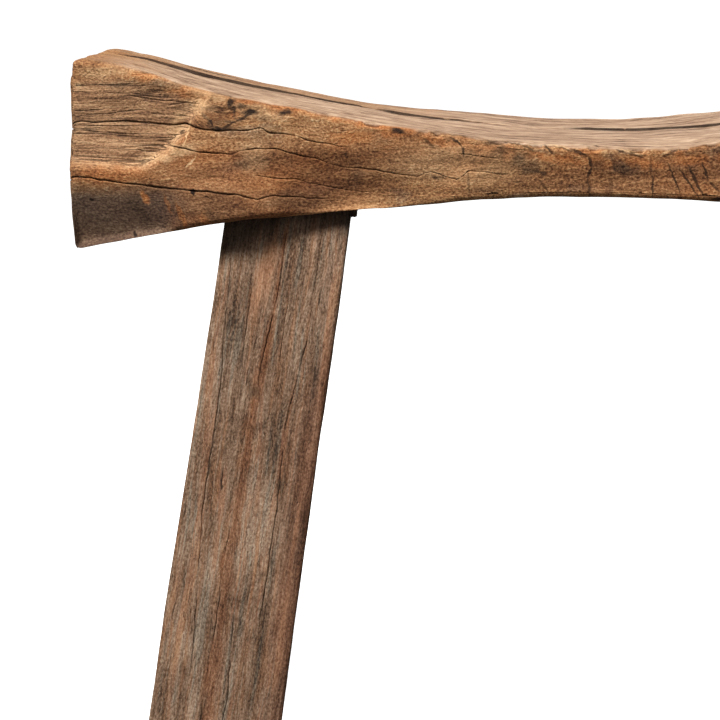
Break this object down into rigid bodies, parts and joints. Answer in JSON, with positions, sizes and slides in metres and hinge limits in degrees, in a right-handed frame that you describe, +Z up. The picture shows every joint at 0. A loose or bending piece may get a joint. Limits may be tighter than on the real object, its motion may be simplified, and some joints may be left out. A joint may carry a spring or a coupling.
{
  "type": "three-legged saddle stool",
  "caption": "Rustic hewn timber stool: a thick-ended saddle-shaped seat beam on splayed rectangular legs, tenoned in from below and locked by hidden wedges.",
  "frame": {"origin": "on the floor, at the centre of the object's footprint, under the middle of the seat", "axes": "+X along the seat towards the end with the single leg, +Y to the back, +Z up"},
  "size_m": [0.62, 0.2918, 0.482],
  "materials": {
    "seat_timber": "old hewn elm, bleached on top, worn smooth on the arrises",
    "leg_timber": "old sawn elm, weathered grey-brown, dry and checked",
    "wedge_timber": "split ash, unweathered",
    "sliver_timber": "dark split sliver, torn end"
  },
  "bodies": {
    "root": {"seat_beam": "seat_timber", "front_leg": "leg_timber", "rear_leg": "leg_timber", "single_leg": "leg_timber", "front_leg_left_wedge": "wedge_timber", "front_leg_right_wedge": "wedge_timber", "rear_leg_left_wedge": "wedge_timber", "rear_leg_right_wedge": "wedge_timber", "single_leg_left_wedge": "wedge_timber", "single_leg_right_wedge": "wedge_timber", "packing_sliver": "sliver_timber"}
  },
  "joints": []
}
